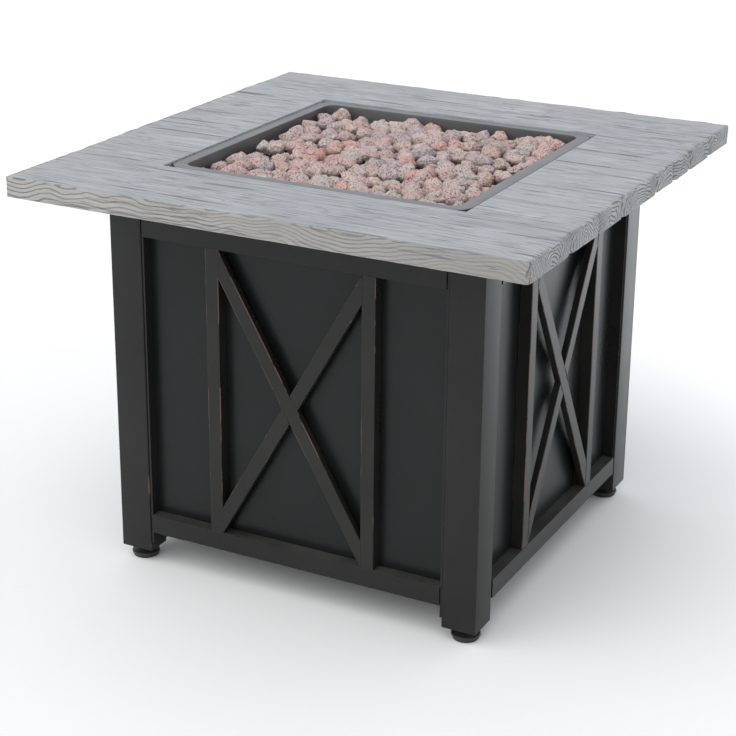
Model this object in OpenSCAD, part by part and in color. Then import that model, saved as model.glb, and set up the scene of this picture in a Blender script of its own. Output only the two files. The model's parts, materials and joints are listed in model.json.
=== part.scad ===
/* [Overall] */
// Height of the table, from the floor to the top of the mantel
table_h = 583; // [580:1:700]
// Side of the square mantel
mantel_w = 762; // [720:2:960]
// Side of the square base, over the legs
base_w = 563; // [555:1:620]

/* [Mantel] */
// Height of the mantel's edge
mantel_edge = 28; // [24:1:40]
// Thickness of the mantel's slab above its hollow underside
mantel_slab = 16; // [12:1:20]
// Width of the rim that runs round under the mantel's edge
mantel_skirt = 16; // [10:1:24]
// Side of the square cut-out that the fire bowl drops into
opening_w = 455; // [453:1:460]
// How far the thick seat of the mantel reaches past the base
seat_margin = 10; // [4:1:16]

/* [Legs] */
// Width of each face of a leg
leg_face = 50; // [40:1:64]
// Depth of the flange folded in from each face of a leg
leg_return = 38; // [30:1:42]
// Thickness of the folded steel of the legs and rails
sheet = 2; // [1.5:0.5:3]
// Height of the open bottom of the legs above the floor
leg_bottom = 20; // [16:1:30]
// Thickness of the plate that closes a leg above its foot
foot_plate = 3; // [2:0.5:5]

/* [Levelling feet] */
// Diameter of a foot's disc
foot_d = 40; // [32:1:44]
// Diameter of a foot's threaded stud
stud_d = 8; // [6:1:10]
// Distance from the outer faces of the leg to the stud
foot_inset = 24; // [22:1:28]
// How far a foot screws out
foot_travel = 12; // [6:1:16]

/* [Side frames] */
// Depth of the rails and stiles in front of the panels
recess = 18; // [12:1:24]
// Height of the top rails at the front, right and left
top_rail_h = 60; // [52:1:76]
// Height of the bottom rails at the front, right and left
bottom_rail_h = 27; // [20:1:40]
// Height of the underside of the bottom rails above the floor
bottom_rail_z = 51; // [44:1:54]
// Thickness of the upright strip that bolts each side frame to a leg
strip_t = 3; // [2:0.5:4]
// Depth of the upright strips
strip_depth = 36; // [32:1:40]
// Height of the lower end of the strips above the floor
strip_bottom = 33; // [28:1:42]
// How far the strips stand back from the front of the rails
strip_setback = 2; // [0:0.5:4]
// Thickness of the panels
panel_t = 1.5; // [1:0.25:2]
// Diameter of the frame bolts
bolt_d = 6; // [5:1:8]

/* [Cross bars] */
// Width of the stiles
stile_w = 20; // [14:1:28]
// Distance between the middles of the two stiles
stile_span = 237; // [200:1:280]
// Width of the diagonal bars
bar_w = 20; // [14:1:26]
// Thickness of the diagonal bars
bar_t = 10; // [4:1:12]

/* [Fire bowl] */
// Outer side of the bowl's rim
rim_w = 450; // [438:1:452]
// Width of the flat of the rim
rim_flat = 17.5; // [14:0.5:24]
// Outer corner radius of the rim
rim_corner = 28; // [20:1:40]
// Inner corner radius of the bowl
wall_corner = 16; // [10:1:24]
// Thickness of the bowl's steel
bowl_t = 1.5; // [1:0.25:3]
// How far the rim lies below the top of the mantel
rim_drop = 2; // [0:0.5:6]
// Height of the lip folded down from the rim
lip_h = 11; // [6:1:16]
// Depth of the bowl
bowl_depth = 54; // [50:0.5:60]

/* [Rocks and grate] */
// Depth of the bed of lava rocks at the wall
rock_depth = 8; // [5:1:11]
// Height of the heap in the middle above the rocks at the wall
rock_crown = 10; // [6:1:14]
// Number of bars in the grate that carries the rocks
grate_bars = 11; // [7:1:15]
// Thickness of a grate bar
grate_bar_t = 3; // [2:0.5:5]
// Height of a grate bar
grate_bar_h = 5; // [4:0.5:8]

/* [Burner] */
// Radius of the burner ring, to the middle of its tube
ring_r = 110; // [80:1:120]
// Width and height of the burner ring's square tube
ring_tube_d = 19; // [14:1:20]
// Number of flame ports
port_count = 24; // [12:2:48]
// Diameter of the mixer tube under the bowl
mixer_d = 18; // [14:1:20]
// Outer diameter of the gas pipe
pipe_d = 8; // [6:1:10]
// Clear height between the mixer and the heat shield
shield_gap = 2; // [1:0.5:10]

/* [Controls] */
// Distance of the knob and of the igniter from the middle of their side
control_offset = 38; // [30:1:48]
// Diameter of the control knob
knob_d = 40; // [30:1:46]
// Depth of the control knob
knob_depth = 22; // [16:1:30]
// How far the knob pushes in
knob_push = 3; // [2:0.5:3.5]
// Diameter of the valve stem
stem_d = 8; // [6:1:10]
// Diameter of the igniter's barrel
igniter_d = 22; // [20:1:26]
// Diameter of the igniter's button
button_d = 17; // [14:0.5:18]
// How far the igniter's button pushes in
button_push = 4; // [2:0.5:5]

/* [Door] */
// Height of the rail above the door
door_top_rail_h = 55; // [44:1:64]
// Height of the rail below the door
door_bottom_rail_h = 18; // [12:1:18]
// Gap round the door
door_gap = 2; // [1.5:0.5:4]
// Width of the bars of the door's frame
door_bar_w = 20; // [16:1:26]
// Length of a door hinge
hinge_h = 60; // [45:1:80]
// Diameter of a hinge pin
pin_d = 4; // [3:0.5:5]

/* [Tank bay] */
// Diameter of the foot ring of the gas tank that the bay takes
tank_foot_d = 206; // [200:1:216]
// Thickness of the base shelf
shelf_t = 2; // [1.5:0.5:3]

/* [Hidden] */
$fn = 48;

// Clearances
run_fit = 0.05;      // radial play of a shaft that turns or slides in its hole
weld_gap = 0.2;      // gap left between bars that are welded end to end
bolt_play = 0.3;     // radial play of a bolt in its hole
strip_gap = 0.5;     // play between a side frame's strip and its leg
air = 1;             // clearance between pieces that must not touch
knuckle_gap = 0.3;   // play between the knuckles of a hinge

// Quarter turns from the front to each side and to each corner
FRONT = 0;
RIGHT = 1;
BACK = 2;
LEFT = 3;

// Base
base_half = base_w / 2;
base_top = table_h - mantel_edge;
panel_y = -base_half + recess;              // outer face of the front panel
panel_back = panel_y + panel_t;
leg_in = base_half - leg_face;              // side of a leg that faces the panel
strip_out = leg_in - strip_gap;
strip_in = strip_out - strip_t;
strip_y = -base_half + strip_setback;
bolt_y = panel_back + (strip_y + strip_depth - panel_back) / 2;
top_rail_z = base_top - top_rail_h;
bottom_rail_top = bottom_rail_z + bottom_rail_h;
bolt_zs = [bottom_rail_top + 30, top_rail_z - 30];

// Feet
foot_at = -base_half + foot_inset;
foot_plate_z = leg_bottom + 3;
foot_nut_h = 6;
stud_top = foot_plate_z + foot_plate + foot_nut_h + foot_travel + 12;

// Cross bars
stile_in = stile_span / 2 - stile_w / 2;

// Fire bowl
rim_half = rim_w / 2;
wall_half = rim_half - rim_flat;
rim_top = table_h - rim_drop;
bowl_bottom = rim_top - bowl_depth;
bowl_floor = bowl_bottom + bowl_t;
lip_gap = rim_flat - 2 * bowl_t;            // space between the bowl's wall and its lip
support_t = 3;
support_out = rim_half - bowl_t - lip_gap / 4;
support_corner = rim_corner - bowl_t - lip_gap / 4;
shield_t = 2;
mixer_drop = 3;                             // between the bowl's floor and the mixer
shield_z = bowl_bottom - mixer_drop - mixer_d - shield_gap - shield_t;
shield_half = support_out + 10;
shield_hanger_w = 120;

// Burner
ring_tube_r = ring_tube_d / 2;
burner_wall = 1.2;
ring_leg = 4;                               // height of the ring's feet
burner_z = bowl_floor + ring_leg + ring_tube_r;
hub_r = 12;
hub_hole_r = hub_r + air;
cross_r = ring_tube_r - 2;
mixer_r = mixer_d / 2;
mixer_z = bowl_bottom - mixer_drop - mixer_r;
mixer_len = 60;
orifice_len = 10;
collar_r = mixer_r + 2;
hub_bottom = mixer_z + mixer_r;

// Grate and rocks
grate_z = burner_z + ring_tube_r + 2.5;
grate_half = wall_half - 6;
rock_z = grate_z + grate_bar_h;
rock_half = wall_half - 1.5;
rock_wall_top = rock_z + rock_depth;

// Pilot group, in front of the burner ring
pilot_y = -ring_r - ring_tube_r - 12.5;
pilot_gap = 14;
electrode_r = 3.5;
thermocouple_r = 3;
pilot_plate_t = 1.5;

// Controls, built at the front and turned to the left side
control_z = top_rail_z + top_rail_h / 2;
plate_w = 4 * control_offset;
plate_h = 50;
plate_t = 2;
plate_face = -base_half - plate_t;
stem_r = stem_d / 2;
stem_hole_r = stem_r + 2;
igniter_r = igniter_d / 2;
button_r = button_d / 2;
valve_w = 36;
valve_len = 28;
valve_h = 32;
valve_face = panel_back + 4.5;
valve_back = valve_face + valve_len;
sleeve_r = stem_r + 3;
sleeve_len = 12;
valve_bore_len = sleeve_len + 4 + knob_push + 3;
inlet_r = 7.94;
inlet_len = 24;
pipe_r = pipe_d / 2;
pipe_drop_y = valve_back + 8 + pipe_r;
knob_back = plate_face - knob_push - 2;
knob_face = knob_back - knob_depth;
knob_skirt = 5;
knob_wall = 5;
igniter_flange_t = 2;
igniter_len = 64;
igniter_cap = 2;
nut_t = 5;
battery_r = 5.25;
battery_len = 44.5;
button_back = plate_face - igniter_flange_t + 8;
button_face = plate_face - igniter_flange_t - button_push - 2;
battery_back = plate_face + igniter_len - igniter_cap - 0.5;
battery_front = battery_back - battery_len;

// Door, built at the front and turned to the back
shelf_z = bottom_rail_z - shelf_t;
door_rail_top = shelf_z + shelf_t;
door_top_rail_z = base_top - door_top_rail_h;
door_bottom = door_rail_top + door_gap;
door_top = door_top_rail_z - door_gap;
door_half = strip_in - door_gap;
leaf_t = 2;
knuckle_r = pin_d / 2 + 2;
pin_y = -base_half - knuckle_r - 0.5;
pin_x = -leg_in + 2;
leaf_w = 28;
knuckle_h = hinge_h / 3 - knuckle_gap;
hinge_zs = [door_bottom + 90, door_top - 90];
pull_x = door_half - door_bar_w / 2;
pull_h = 100;
pull_out = 26;
pull_r = 5;
magnet_x = 178;
magnet_w = 30;
strike_t = 2.2;

// Tank bay
shelf_half = strip_in - 1.5;
shelf_tab_w = 40;
shelf_tab_x = -strip_in + 32;
guide_r = tank_foot_d / 2 + 3;
guide_t = 2.5;
guide_h = 24;
guide_arm = 70;
screw_r = 4;
screw_y = 30;
screw_z = shelf_z + shelf_t + guide_h / 2;
screw_travel = 5;

// Mantel fixings
mantel_screw_r = 2.5;
mantel_screw_len = 16;
screw_head_h = 3;
bracket_x = 150;
bracket_w = 40;
bracket_h = 26;
bracket_t = 2;
support_half = opening_w / 2 + 15.5;
support_screw_y = -opening_w / 2 - 8.5;
bracket_reach = -panel_back - support_half - 1.5;
screw_clear = 2;                            // between a screw's head and the bracket's upright
bracket_screw_y = panel_back + bracket_t + screw_clear + mantel_screw_r + 2;

// A side's pieces are drawn at the front; this turns them to another side
module on_side(quarter) {
    rotate([0, 0, 90 * quarter]) children();
}

module mirrored_x() {
    children();
    mirror([1, 0, 0]) children();
}

module slab(half, z, h) {
    translate([-half, -half, z]) cube([2 * half, 2 * half, h]);
}

module rounded_square(half, r) {
    square([2 * half, 2 * (half - r)], center = true);
    square([2 * (half - r), 2 * half], center = true);
    for (sx = [-1, 1], sy = [-1, 1]) translate([sx * (half - r), sy * (half - r)]) circle(r);
}

// A cylinder along Y, from y0 to y1
module rod_y(x, y0, y1, z, r) {
    translate([x, y0, z]) rotate([-90, 0, 0]) cylinder(h = y1 - y0, r = r);
}

// A cylinder along X, from x0 to x1
module rod_x(x0, x1, y, z, r) {
    translate([x0, y, z]) rotate([0, 90, 0]) cylinder(h = x1 - x0, r = r);
}

module tube_bar(size) {
    difference() {
        translate([-size.x / 2, 0, 0]) cube(size);
        translate([-size.x / 2 - 1, sheet, sheet])
            cube([size.x + 2, size.y - 2 * sheet, size.z - 2 * sheet]);
    }
}

module upright_tube(x, w, z0, z1) {
    difference() {
        translate([x, -base_half, z0]) cube([w, recess, z1 - z0]);
        translate([x + sheet, -base_half + sheet, z0 - 1]) cube([w - 2 * sheet, recess - 2 * sheet, z1 - z0 + 2]);
    }
}

// Mantel: a hollow-backed slab with a thick seat over the base and a skirt at the edge
module mantel() {
    color("#a9aeb2") difference() {
        slab(mantel_w / 2, base_top, mantel_edge);
        slab(opening_w / 2, base_top - 1, mantel_edge + 2);
        difference() {
            slab(mantel_w / 2 - mantel_skirt, base_top - 1, mantel_edge - mantel_slab + 1);
            slab(base_half + seat_margin, base_top - 2, mantel_edge + 2);
        }
        mantel_screw_holes();
    }
}

module each_mantel_screw() {
    for (quarter = [FRONT:LEFT]) on_side(quarter) {
        for (x = [-bracket_x, bracket_x]) translate([x, bracket_screw_y, base_top - bracket_t]) children();
        for (x = [-bracket_x / 2, bracket_x / 2]) translate([x, support_screw_y, base_top - support_t]) children();
    }
}

module mantel_screw_holes() {
    each_mantel_screw() cylinder(h = mantel_screw_len + support_t, r = mantel_screw_r + bolt_play);
}

// Screws up through the brackets and the bowl support into the mantel
module mantel_screws() {
    color("#8c8f92") each_mantel_screw() {
        cylinder(h = mantel_screw_len, r = mantel_screw_r);
        translate([0, 0, -screw_head_h]) cylinder(h = screw_head_h, r = mantel_screw_r + 2);
    }
}

// Angle brackets behind the top rails
module mantel_brackets() {
    color("#3a3b3c") difference() {
        for (quarter = [FRONT:LEFT]) on_side(quarter) for (x = [-bracket_x, bracket_x])
            translate([x - bracket_w / 2, panel_back, base_top]) {
                translate([0, 0, -bracket_h]) cube([bracket_w, bracket_t, bracket_h]);
                translate([0, 0, -bracket_t]) cube([bracket_w, bracket_reach, bracket_t]);
            }
        each_mantel_screw() translate([0, 0, -1]) cylinder(h = bracket_t + 2, r = mantel_screw_r + bolt_play);
    }
}

// Drop-in bowl with a rolled-over rim
module fire_bowl() {
    color("#55585b") difference() {
        union() {
            translate([0, 0, bowl_bottom]) linear_extrude(bowl_depth)
                rounded_square(wall_half + bowl_t, wall_corner + bowl_t);
            translate([0, 0, rim_top - bowl_t]) linear_extrude(bowl_t) rounded_square(rim_half, rim_corner);
            translate([0, 0, rim_top - lip_h]) linear_extrude(lip_h - bowl_t / 2) difference() {
                rounded_square(rim_half, rim_corner);
                rounded_square(rim_half - bowl_t, rim_corner - bowl_t);
            }
        }
        translate([0, 0, bowl_floor]) linear_extrude(bowl_depth) rounded_square(wall_half, wall_corner);
        translate([0, 0, bowl_bottom - 1]) cylinder(h = bowl_t + 2, r = hub_hole_r);
        for (sx = [-1, 1], sy = [-1, 1])
            translate([sx * wall_half * 0.7, sy * wall_half * 0.7, bowl_bottom - 1]) cylinder(h = bowl_t + 2, r = 6);
        on_side(LEFT) pilot_holes();
    }
}

// Square angle frame under the mantel that the rim of the bowl sits on
module bowl_support() {
    color("#303234") difference() {
        union() {
            slab(support_half, base_top - support_t, support_t);
            translate([0, 0, base_top - support_t]) linear_extrude(rim_top - bowl_t - base_top + support_t)
                rounded_square(support_out, support_corner);
        }
        translate([0, 0, base_top - support_t - 1]) linear_extrude(table_h)
            rounded_square(support_out - support_t, support_corner - support_t);
        each_mantel_screw() translate([0, 0, -1]) cylinder(h = support_t + 2, r = mantel_screw_r + bolt_play);
    }
}

// Plate between the bowl and the tank, hung from the bowl support at the front and the back
module heat_shield() {
    color("#8f9396") {
        slab(shield_half, shield_z, shield_t);
        for (quarter = [FRONT, BACK]) on_side(quarter)
            translate([-shield_hanger_w / 2, -shield_half, shield_z])
                cube([shield_hanger_w, shield_t, base_top - support_t - shield_z]);
    }
}

// Bed of loose lava rocks as one stepped heap
module lava_rocks() {
    color("#a98f86") {
        translate([0, 0, rock_z]) linear_extrude(rock_depth) rounded_square(rock_half, wall_corner - 1.5);
        translate([0, 0, rock_wall_top - 1]) linear_extrude(1 + rock_crown / 2)
            rounded_square(rock_half * 0.9, wall_corner);
        translate([0, 0, rock_wall_top - 1]) linear_extrude(1 + rock_crown)
            rounded_square(rock_half * 0.72, wall_corner);
    }
}

// Grate of flat bars on four legs, which holds the rocks above the burner
module rock_grate() {
    pitch = 2 * grate_half / (grate_bars - 1);
    leg = 10;
    color("#4c4d4f") {
        for (i = [0:grate_bars - 1])
            translate([-grate_half, -grate_half + i * pitch - grate_bar_t / 2, grate_z])
                cube([2 * grate_half, grate_bar_t, grate_bar_h]);
        for (x = [-grate_half, -grate_half / 3, grate_half / 3, grate_half])
            translate([x - grate_bar_t / 2, -grate_half - grate_bar_t / 2, grate_z])
                cube([grate_bar_t, 2 * grate_half + grate_bar_t, grate_bar_h]);
        for (sx = [-1, 1], sy = [-1, 1])
            translate([sx * grate_half - (sx + 1) / 2 * leg, sy * grate_half - (sy + 1) / 2 * leg, bowl_floor])
                cube([leg, leg, grate_z - bowl_floor + 1]);
    }
}

// Ring burner of flat-topped tube with four cross tubes, a hub and a ring of flame ports
module burner_ring() {
    color("#b9bcbe") difference() {
        union() {
            translate([0, 0, burner_z]) rotate_extrude($fn = 96) translate([ring_r, 0])
                square(ring_tube_d, center = true);
            for (a = [45:90:315]) rotate([0, 0, a]) rod_x(0, ring_r, 0, burner_z, cross_r);
            translate([0, 0, hub_bottom]) cylinder(h = burner_z + cross_r + 1 - hub_bottom, r = hub_r);
            for (a = [0:120:240]) rotate([0, 0, a + 30])
                translate([ring_r, 0, bowl_floor]) cylinder(h = ring_leg + 3, r = 4);
        }
        translate([0, 0, burner_z]) rotate_extrude($fn = 96) translate([ring_r, 0])
            square(ring_tube_d - 2 * burner_wall, center = true);
        for (a = [45:90:315]) rotate([0, 0, a]) rod_x(0, ring_r, 0, burner_z, cross_r - burner_wall);
        translate([0, 0, hub_bottom - 1]) cylinder(h = burner_z - hub_bottom + 1, r = hub_r - 2);
        for (i = [0:port_count - 1]) rotate([0, 0, 360 * (i + 0.5) / port_count])
            translate([ring_r, 0, burner_z]) cylinder(h = ring_tube_r + 1, r = 1.2, $fn = 16);
    }
}

// Mixer tube under the bowl, with its air holes, orifice and upturned collar
module burner_mixer() {
    color("#b59a5b") on_side(LEFT) difference() {
        union() {
            rod_y(0, -mixer_len, collar_r, mixer_z, mixer_r);
            translate([0, 0, mixer_z]) cylinder(h = mixer_r, r = collar_r);
            rod_y(0, -mixer_len - orifice_len, -mixer_len, mixer_z, mixer_r - 1);
        }
        rod_y(0, -mixer_len + 3, collar_r - 3, mixer_z, mixer_r - 1.5);
        translate([0, 0, mixer_z]) cylinder(h = mixer_r + 1, r = hub_r - 4);
        rod_x(-collar_r, collar_r, -mixer_len + 16, mixer_z, 3.5);
        rod_y(0, -mixer_len - orifice_len - 1, -mixer_len + 4, mixer_z, 1);
    }
}

// One straight length of pipe between two points
module pipe_length(from, to, r) {
    d = to - from;
    translate(from) rotate([0, acos(d.z / norm(d)), atan2(d.y, d.x)]) cylinder(h = norm(d), r = r);
}

// Gas pipe from the valve, down beside the bowl and under it to the mixer
module gas_pipe() {
    turn_y = pilot_y - 16;
    route = [
        [-control_offset, valve_back, control_z],
        [-control_offset, pipe_drop_y, control_z],
        [-control_offset, pipe_drop_y, mixer_z],
        [-control_offset, turn_y, mixer_z],
        [0, turn_y, mixer_z],
        [0, -mixer_len - orifice_len, mixer_z]
    ];
    color("#c2c5c7") on_side(LEFT) {
        for (i = [0:len(route) - 2]) pipe_length(route[i], route[i + 1], pipe_r);
        for (i = [1:len(route) - 2]) translate(route[i]) sphere(pipe_r + 1);
    }
}

module pilot_holes() {
    translate([-pilot_gap, pilot_y, bowl_bottom - 1]) cylinder(h = bowl_t + pilot_plate_t + 2, r = electrode_r + bolt_play);
    translate([pilot_gap, pilot_y, bowl_bottom - 1]) cylinder(h = bowl_t + pilot_plate_t + 2, r = thermocouple_r + bolt_play);
}

// Folded bracket beside the burner ring that carries the electrode and the thermocouple
module igniter_shield() {
    h = grate_z - bowl_floor - 3;
    color("#9a9da0") on_side(LEFT) difference() {
        union() {
            translate([-pilot_gap - 10, pilot_y - 12, bowl_floor]) cube([2 * pilot_gap + 20, 20, pilot_plate_t]);
            translate([-pilot_gap - 10, pilot_y - 12, bowl_floor]) cube([2 * pilot_gap + 20, pilot_plate_t, h]);
        }
        pilot_holes();
    }
}

module electrode() {
    color("#e8e4da") on_side(LEFT) {
        translate([-pilot_gap, pilot_y, bowl_bottom - 6]) cylinder(h = 24, r = electrode_r);
        translate([-pilot_gap, pilot_y, bowl_bottom + 17]) cylinder(h = grate_z - bowl_bottom - 19, r = 1);
    }
}

module thermocouple() {
    color("#b0793f") on_side(LEFT) {
        translate([pilot_gap, pilot_y, bowl_bottom - 8]) cylinder(h = 26, r = thermocouple_r);
        translate([pilot_gap, pilot_y, bowl_bottom + 17]) cylinder(h = grate_z - bowl_bottom - 20, r = 2);
    }
}

// Holes for the valve stem and the igniter through whatever lies between two depths
module control_bores(y0, y1) {
    rod_y(-control_offset, y0, y1, control_z, stem_hole_r);
    rod_y(control_offset, y0, y1, control_z, igniter_r + bolt_play);
}

// Plate on the left top rail for the knob and the igniter
module control_plate() {
    color("#26272a") on_side(LEFT) difference() {
        translate([-plate_w / 2, plate_face, control_z - plate_h / 2]) cube([plate_w, plate_t, plate_h]);
        control_bores(plate_face - 1, -base_half + 1);
    }
}

// Gas valve behind the left top rail, with its hose inlet pointing down
module gas_valve() {
    color("#c8a95c") on_side(LEFT) difference() {
        union() {
            translate([-control_offset - valve_w / 2, valve_face, control_z - valve_h / 2])
                cube([valve_w, valve_len, valve_h]);
            rod_y(-control_offset, panel_back, valve_face + 1, control_z, sleeve_r + 4);
            translate([-control_offset, valve_face + valve_len / 2, control_z - valve_h / 2 - 6])
                cylinder(h = 7, r = inlet_r + 2.5, $fn = 6);
            translate([-control_offset, valve_face + valve_len / 2, control_z - valve_h / 2 - inlet_len])
                cylinder(h = inlet_len, r = inlet_r);
        }
        rod_y(-control_offset, panel_back - 1, panel_back + valve_bore_len, control_z, sleeve_r + run_fit);
        translate([-control_offset, valve_face + valve_len / 2, control_z - valve_h / 2 - inlet_len - 1])
            cylinder(h = inlet_len + 6, r = 4);
    }
}

// Spring-loaded sleeve that lets the stem push in and turn
module valve_sleeve() {
    color("#8a8d90") on_side(LEFT) difference() {
        rod_y(-control_offset, panel_back + 4, panel_back + 4 + sleeve_len, control_z, sleeve_r);
        rod_y(-control_offset, panel_back + 3, panel_back + 5 + sleeve_len, control_z, stem_r + run_fit);
    }
}

module valve_stem() {
    color("#d0d2d4") on_side(LEFT)
        rod_y(-control_offset, knob_face + knob_wall, panel_back + 6 + sleeve_len, control_z, stem_r);
}

// Round control knob with a grip bar and a pointer groove
module control_knob() {
    knob_r = knob_d / 2;
    grip_t = 9;
    color("#1c1c1e") on_side(LEFT) difference() {
        union() {
            rod_y(-control_offset, knob_back - knob_skirt, knob_back, control_z, knob_r);
            rod_y(-control_offset, knob_face + 4, knob_back - knob_skirt + 1, control_z, knob_r * 0.62);
            translate([-control_offset - grip_t / 2, knob_face, control_z - knob_r * 0.9])
                cube([grip_t, knob_depth - knob_skirt + 1, knob_r * 1.8]);
        }
        rod_y(-control_offset, knob_face + knob_wall, knob_back + 1, control_z, stem_r);
        translate([-control_offset - 0.75, knob_face - 1, control_z + knob_r * 0.3])
            cube([1.5, 2, knob_r * 0.7]);
    }
}

// Igniter barrel with its flange outside the plate
module igniter_body() {
    color("#1f2022") on_side(LEFT) difference() {
        union() {
            rod_y(control_offset, plate_face - igniter_flange_t, plate_face, control_z, igniter_r + 3);
            rod_y(control_offset, plate_face - 1, plate_face + igniter_len, control_z, igniter_r);
        }
        rod_y(control_offset, plate_face - igniter_flange_t - 1, plate_face + igniter_len - igniter_cap, control_z,
            button_r + run_fit);
    }
}

module igniter_nut() {
    color("#2a2b2d") on_side(LEFT) difference() {
        translate([control_offset, panel_back, control_z]) rotate([-90, 0, 0])
            cylinder(h = nut_t, r = igniter_r + 5, $fn = 6);
        rod_y(control_offset, panel_back - 1, panel_back + nut_t + 1, control_z, igniter_r + run_fit);
    }
}

module igniter_button() {
    color("#b3261e") on_side(LEFT) rod_y(control_offset, button_face, button_back, control_z, button_r);
}

// Return spring behind the button, as four closed coils
module igniter_spring() {
    coils = 4;
    pitch = (battery_front - button_back) / coils;
    color("#c9ccce") on_side(LEFT) for (i = [0:coils - 1])
        translate([control_offset, button_back + (i + 0.5) * pitch, control_z]) rotate([90, 0, 0])
            rotate_extrude() translate([button_r - 2, 0]) circle(0.6, $fn = 16);
}

module igniter_battery() {
    color("#3d6b4f") on_side(LEFT) rod_y(control_offset, battery_front, battery_back, control_z, battery_r);
}

// Folded leg: two faces with a flange folded in from each
module leg(quarter) {
    a = -base_half;
    b = a + leg_face;
    c = a + leg_return;
    color("#2b2c2d") on_side(quarter) difference() {
        translate([0, 0, leg_bottom]) linear_extrude(base_top - leg_bottom) polygon([
            [a, a], [b, a], [b, c], [b - sheet, c], [b - sheet, a + sheet], [a + sheet, a + sheet],
            [a + sheet, b - sheet], [c, b - sheet], [c, b], [a, b]
        ]);
        for (z = bolt_zs) {
            rod_x(b - sheet - 1, b + 1, bolt_y, z, bolt_d / 2 + bolt_play);
            rod_y(bolt_y, b - sheet - 1, b + 1, z, bolt_d / 2 + bolt_play);
        }
    }
}

module leg_front_left() { leg(FRONT); }
module leg_front_right() { leg(RIGHT); }
module leg_back_right() { leg(BACK); }
module leg_back_left() { leg(LEFT); }

// Plate and nut in the bottom of each leg for the foot's stud
module leg_foot_plates() {
    inner = leg_face - 2 * sheet;
    color("#6f7274") for (quarter = [FRONT:LEFT]) on_side(quarter) difference() {
        union() {
            translate([-base_half + sheet, -base_half + sheet, foot_plate_z]) cube([inner, inner, foot_plate]);
            translate([foot_at, foot_at, foot_plate_z + 1]) cylinder(h = foot_plate - 1 + foot_nut_h, r = stud_d, $fn = 6);
        }
        translate([foot_at, foot_at, foot_plate_z - 1])
            cylinder(h = foot_plate + foot_nut_h + 2, r = stud_d / 2 + run_fit);
    }
}

// Two-tier foot disc with the shoulder that seats under the leg's plate
module glide(quarter) {
    r = foot_d / 2;
    shoulder_r = stud_d / 2 + 4;
    color("#242424") on_side(quarter) translate([foot_at, foot_at, 0]) rotate_extrude() polygon([
        [0, 0], [r - 3, 0], [r - 2, 1], [r - 2, 4], [r, 5], [r, 8], [r - 2, 9], [shoulder_r, 11],
        [shoulder_r, foot_plate_z], [0, foot_plate_z]
    ]);
}

module glide_front_left() { glide(FRONT); }
module glide_front_right() { glide(RIGHT); }
module glide_back_right() { glide(BACK); }
module glide_back_left() { glide(LEFT); }

module stud(quarter) {
    color("#9b9ea0") on_side(quarter) translate([foot_at, foot_at, foot_plate_z])
        cylinder(h = stud_top - foot_plate_z, r = stud_d / 2);
}

module stud_front_left() { stud(FRONT); }
module stud_front_right() { stud(RIGHT); }
module stud_back_right() { stud(BACK); }
module stud_back_left() { stud(LEFT); }

// Two rails and the two upright strips that bolt them to the legs
module side_frame(top_h, low_z, low_h) {
    rail_w = 2 * (strip_in - weld_gap);
    translate([0, -base_half, base_top - top_h]) tube_bar([rail_w, recess, top_h]);
    translate([0, -base_half, low_z]) tube_bar([rail_w, recess, low_h]);
    mirrored_x() difference() {
        translate([strip_in, strip_y, strip_bottom]) cube([strip_t, strip_depth, base_top - strip_bottom]);
        for (z = bolt_zs) rod_x(strip_in - 1, strip_out + 1, bolt_y, z, bolt_d / 2 + bolt_play);
    }
}

module front_frame() { color("#2b2b2b") side_frame(top_rail_h, bottom_rail_z, bottom_rail_h); }
module right_frame() { color("#2b2b2b") on_side(RIGHT) side_frame(top_rail_h, bottom_rail_z, bottom_rail_h); }

module left_frame() {
    color("#2b2b2b") on_side(LEFT) difference() {
        side_frame(top_rail_h, bottom_rail_z, bottom_rail_h);
        control_bores(-base_half - 1, panel_y + 1);
    }
}

module back_frame() {
    color("#2b2b2b") on_side(BACK)
        side_frame(door_top_rail_h, door_rail_top - door_bottom_rail_h, door_bottom_rail_h);
}

// Height on a stile that a diagonal bar's end takes up, in an opening w wide and h high
function bar_end(w, h) =
    let (k = bar_w * bar_w / (w * w))
    (-k * h + sqrt(k * k * h * h + (1 - k) * (bar_w * bar_w + k * h * h))) / (1 - k);

// Two stiles and an X: one diagonal runs through and the other is two halves
module cross_bars(z0, z1) {
    low = z0 + weld_gap;
    high = z1 - weld_gap;
    w = stile_in - weld_gap;
    end = bar_end(2 * w, high - low);
    mirrored_x() upright_tube(stile_in, stile_w, low, high);
    translate([0, -base_half + bar_t, 0]) rotate([90, 0, 0]) {
        linear_extrude(bar_t) diagonal(w, low, high, end, 0);
        linear_extrude(bar_t) difference() {
            mirror([1, 0]) diagonal(w, low, high, end, 0);
            diagonal(w + 1, low, high, end, 2 * weld_gap);
        }
    }
}

// Outline of the diagonal from the top left to the bottom right, seen from outside
module diagonal(w, low, high, end, grow) {
    polygon([[-w, high + grow], [-w, high - end - grow], [w, low - grow], [w, low + end + grow]]);
}

module front_cross_bars() { color("#303032") cross_bars(bottom_rail_top, top_rail_z); }
module right_cross_bars() { color("#303032") on_side(RIGHT) cross_bars(bottom_rail_top, top_rail_z); }
module left_cross_bars() { color("#303032") on_side(LEFT) cross_bars(bottom_rail_top, top_rail_z); }

// Sheet behind the rails and stiles of one side
module side_panel() {
    translate([-strip_in, panel_y, bottom_rail_z + 2]) cube([2 * strip_in, panel_t, base_top - bottom_rail_z - 2]);
}

module front_panel() { color("#232526") side_panel(); }
module right_panel() { color("#232526") on_side(RIGHT) side_panel(); }

module left_panel() {
    color("#232526") on_side(LEFT) difference() {
        side_panel();
        control_bores(panel_y - 1, panel_back + 1);
    }
}

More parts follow.
